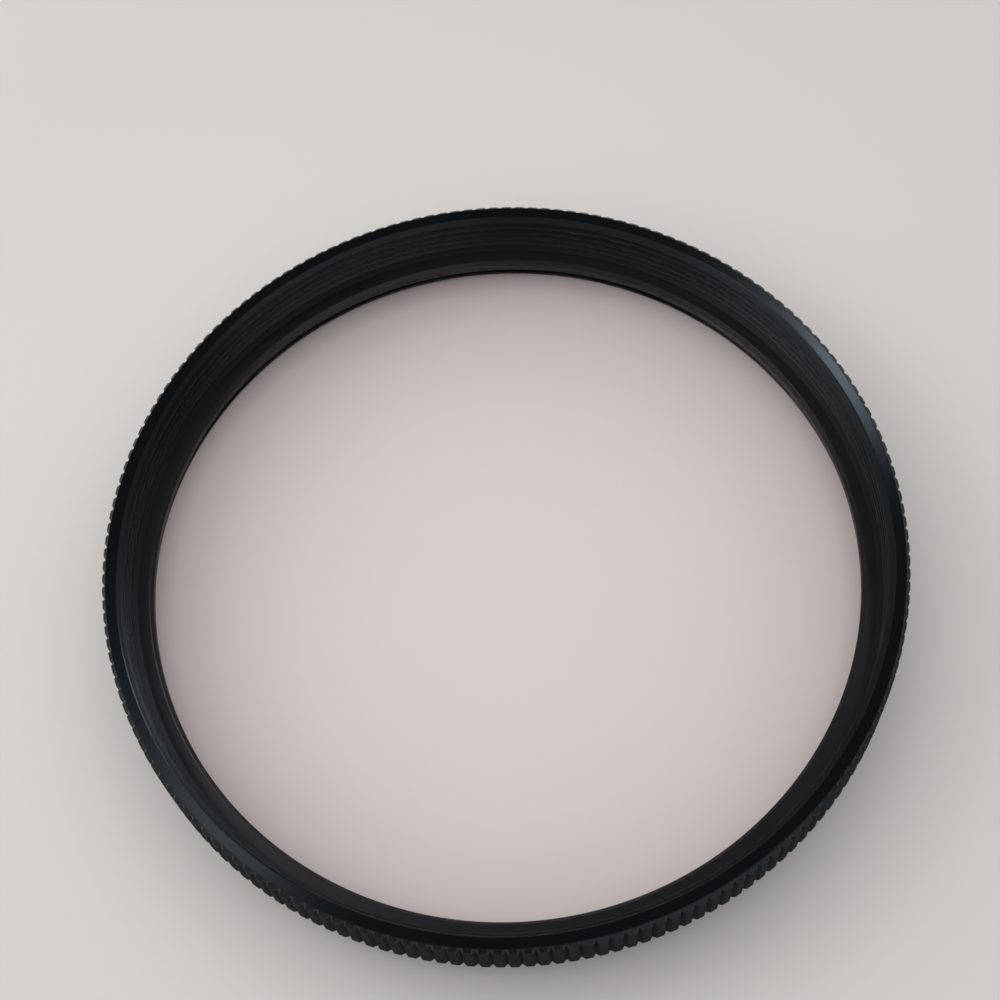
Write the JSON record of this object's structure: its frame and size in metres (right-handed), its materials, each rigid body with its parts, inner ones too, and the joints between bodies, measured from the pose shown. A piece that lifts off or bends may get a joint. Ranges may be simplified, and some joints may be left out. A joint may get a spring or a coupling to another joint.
{
  "type": "screw-in lens filter",
  "caption": "Round screw-in lens filter: a knurled black metal ring with a rear and a front thread holds a faintly pink glass disc under a slotted retaining ring.",
  "frame": {"origin": "centre of the rear face, on which the filter lies", "axes": "+Z along the optical axis, from the rear thread to the front rim; +Y through the first spanner slot of the retaining ring"},
  "size_m": [0.054, 0.054, 0.0068],
  "materials": {
    "anodised_black": "satin black anodised, turned",
    "pink_glass": "polished, faintly pink",
    "ring_black": "matt black anodised"
  },
  "bodies": {
    "root": {"filter_ring": "anodised_black", "filter_glass": "pink_glass", "retaining_ring": "ring_black"}
  },
  "joints": []
}
